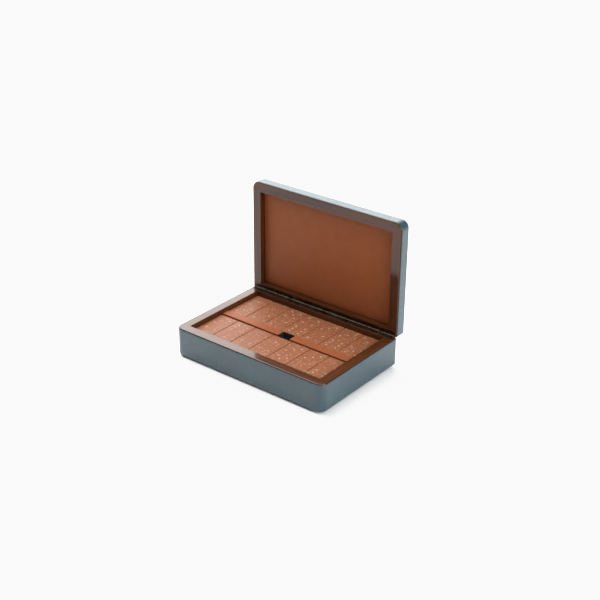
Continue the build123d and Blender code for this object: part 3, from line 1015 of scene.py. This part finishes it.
class DOMINO_OT_linings(PieceOperator, bpy.types.Operator):
    """Lay the lid's lining, the tray's cloth and the two divider strips"""

    bl_idname = "domino.linings"
    bl_label = "Linings and dividers"

    def execute(self, context):
        lining = self.sizes.lining
        terracotta = lining_finish("Terracotta lining", lining.tone, lining)
        strip = lining_finish("Terracotta divider", lining.divider_tone, lining)
        # the tray cloth's near-black colour carries the finger well's painted shade
        baize = nap_finish("Tray cloth", lining.well_tone, lining.fibre * 1.4, sheen=0.1)
        low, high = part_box("lid_lining_panel")
        shape = soft_block(low, high, lining.edge_round, crown=0.25 * MM, crown_axis=1, cuts=12)
        mesh = to_mesh(shape, "lid_lining")
        finished("lid_lining", mesh, [terracotta], "lid_lining_panel")
        finished("tray_cloth", tray_cloth(), [baize], "tray_lining")
        for side in ("left", "right"):
            low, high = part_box(f"divider_{side}")
            shape = soft_block(low, high, lining.edge_round, segments=4)
            name = f"divider_strip_{side}"
            mesh = true_faces(to_mesh(shape, name))
            finished(name, mesh, [strip], f"divider_{side}")
        return {"FINISHED"}


class DOMINO_OT_pad(PieceOperator, bpy.types.Operator):
    """Glue the felt pad under the box"""

    bl_idname = "domino.pad"
    bl_label = "Underside pad"

    def execute(self, context):
        lining = self.sizes.lining
        felt = nap_finish("Pad felt", lining.pad_tone, lining.fibre, bump=0.2 * MM)
        finished("underside_pad", pad_mesh(), [felt], "base_underside_pad")
        return {"FINISHED"}


class DOMINO_OT_hinge(PieceOperator, bpy.types.Operator):
    """Finish the piano hinge in dark bronze and set its slotted screws"""

    bl_idname = "domino.hinge"
    bl_label = "Piano hinge"

    def execute(self, context):
        hinge = self.sizes.hinge
        bronze = bronze_finish("Dark bronze", hinge)
        for node in ("hinge_leaf_base", "hinge_leaf_lid", "hinge_pin"):
            dress(node, bronze)
        metal = bronze_finish("Screw bronze", hinge, gleam=0.5)
        tree = make_screw_row()
        for half in ("base", "lid"):
            mesh, node = screw_row(half, hinge, tree, metal), f"hinge_screws_{half}"
            finished(f"screws_{half}", mesh, [metal], node)
        return {"FINISHED"}


class DOMINO_OT_dominoes(PieceOperator, bpy.types.Operator):
    """Make the 28 dominoes, with drilled and painted pips"""

    bl_idname = "domino.dominoes"
    bl_label = "Dominoes"

    def execute(self, context):
        domino = self.sizes.domino
        finishes = domino_finish(domino), pip_finish(domino)
        drill = make_pip_drill()
        for node, far, near in domino_values():
            mesh = domino_mesh(node, far, near, domino, drill, finishes)
            finished(node.replace("tile", "domino"), mesh, [], node)
        return {"FINISHED"}


def lay_floor(scene, stage):
    shape = bmesh.new()
    bmesh.ops.create_grid(shape, x_segments=2, y_segments=2, size=stage.floor_reach)
    floor = bpy.data.objects.new("floor", to_mesh(shape, "floor", smooth=False))
    floor.data.materials.append(floor_finish(stage))
    scene.collection.objects.link(floor)


def set_room(scene, stage):
    """The even light all round, and the bright room that the camera sees beyond the floor."""
    world = bpy.data.worlds.new("Studio")
    scene.world = world
    world.use_nodes = True
    tree = world.node_tree
    sky = tree.nodes["Background"]
    sky.inputs["Color"].default_value = (1.0, 1.0, 1.0, 1.0)
    seen = put(tree, "ShaderNodeLightPath").outputs["Is Camera Ray"]
    strength = spread(tree, seen, 0.0, 1.0, stage.sky, stage.backdrop)
    wire(sky, Strength=strength)


def set_lights(scene, stage):
    """Four softboxes, all turned to the box."""
    target = Vector((0.0, 0.0, 0.05))
    for name, place, size, power in (
        ("Window softbox", (-1.15, 1.45, 1.15), 1.6, stage.window),
        ("Key softbox", (-0.95, 0.15, 1.55), 1.6, stage.key),
        ("Overhead softbox", (-0.1, 0.1, 2.0), 1.2, stage.overhead),
        ("Side softbox", (1.7, -0.2, 0.8), 1.0, stage.side),
    ):
        light = bpy.data.lights.new(name, "AREA")
        light.shape, light.size, light.energy = "SQUARE", size, power
        lamp = bpy.data.objects.new(name, light)
        scene.collection.objects.link(lamp)
        lamp.location = place
        lamp.rotation_mode = "QUATERNION"
        lamp.rotation_quaternion = (target - Vector(place)).to_track_quat("-Z", "Y")


def set_camera(scene, stage):
    camera = bpy.data.cameras.new("Camera")
    camera.sensor_width = 36.0
    camera.lens = stage.lens
    camera.clip_start, camera.clip_end = 0.05, 50.0
    eye = bpy.data.objects.new("Camera", camera)
    scene.collection.objects.link(eye)
    eye.rotation_mode = "QUATERNION"
    eye.location = CAMERA_PLACE
    level = Vector(CAMERA_LOOK).to_track_quat("-Z", "Y")
    roll = Matrix.Rotation(math.radians(CAMERA_ROLL), 3, "Z")
    eye.rotation_quaternion = level @ roll.to_quaternion()
    scene.camera = eye


def set_film(scene):
    """Keeps colours as they are and lets whites run out softly just short of pure white."""
    scene.view_settings.view_transform = "Standard"
    scene.view_settings.look = "None"
    scene.view_settings.use_curve_mapping = True
    film = scene.view_settings.curve_mapping
    film.white_level = (2.5, 2.5, 2.5)
    film.extend = "HORIZONTAL"
    curve = film.curves[3]
    curve.points[0].location = (0.0, 0.0)
    curve.points[1].location = (1.0, 0.952)
    for x, y in ((0.14, 0.35), (0.28, 0.70), (0.34, 0.835), (0.42, 0.925), (0.52, 0.95)):
        curve.points.new(x, y)
    for i, point in enumerate(curve.points):
        point.handle_type = "VECTOR" if i < 3 else "AUTO_CLAMPED"
    film.update()


class DOMINO_OT_stage(PieceOperator, bpy.types.Operator):
    """Set the floor, the soft studio light and the camera"""

    bl_idname = "domino.stage"
    bl_label = "Stage"

    def execute(self, context):
        stage = self.sizes.stage
        scene = context.scene
        lay_floor(scene, stage)
        set_room(scene, stage)
        set_lights(scene, stage)
        set_camera(scene, stage)
        set_film(scene)
        return {"FINISHED"}


PIECE_OPERATORS = (
    DOMINO_OT_rails,
    DOMINO_OT_boards,
    DOMINO_OT_leather,
    DOMINO_OT_linings,
    DOMINO_OT_pad,
    DOMINO_OT_hinge,
    DOMINO_OT_dominoes,
    DOMINO_OT_stage,
)


class DOMINO_PT_box(bpy.types.Panel):
    """The box's pieces and their sizes and colours"""

    bl_label = "Domino storage box"
    bl_idname = "DOMINO_PT_box"
    bl_space_type = "VIEW_3D"
    bl_region_type = "UI"
    bl_category = "Domino box"

    def draw(self, context):
        layout = self.layout
        for operator in PIECE_OPERATORS:
            layout.operator(operator.bl_idname)
        for name in ("leather", "wood", "lining", "domino", "hinge", "stage"):
            settings = getattr(context.scene.domino_box, name)
            box = layout.box()
            box.label(text=name.capitalize())
            for key in settings.__annotations__:
                box.prop(settings, key)


SETTINGS = (
    LeatherSettings, WoodSettings, LiningSettings, DominoSettings, HingeSettings, StageSettings,
    BoxSettings,
)
CLASSES = (*SETTINGS, *PIECE_OPERATORS, DOMINO_PT_box)


def register():
    for cls in CLASSES:
        bpy.utils.register_class(cls)
    bpy.types.Scene.domino_box = PointerProperty(type=BoxSettings)


def unregister():
    del bpy.types.Scene.domino_box
    for cls in reversed(CLASSES):
        bpy.utils.unregister_class(cls)


def main():
    register()
    bpy.ops.domino.rails()
    bpy.ops.domino.boards()
    bpy.ops.domino.leather()
    bpy.ops.domino.linings()
    bpy.ops.domino.pad()
    bpy.ops.domino.hinge()
    bpy.ops.domino.dominoes()
    bpy.ops.domino.stage()


if __name__ == "__main__":
    main()
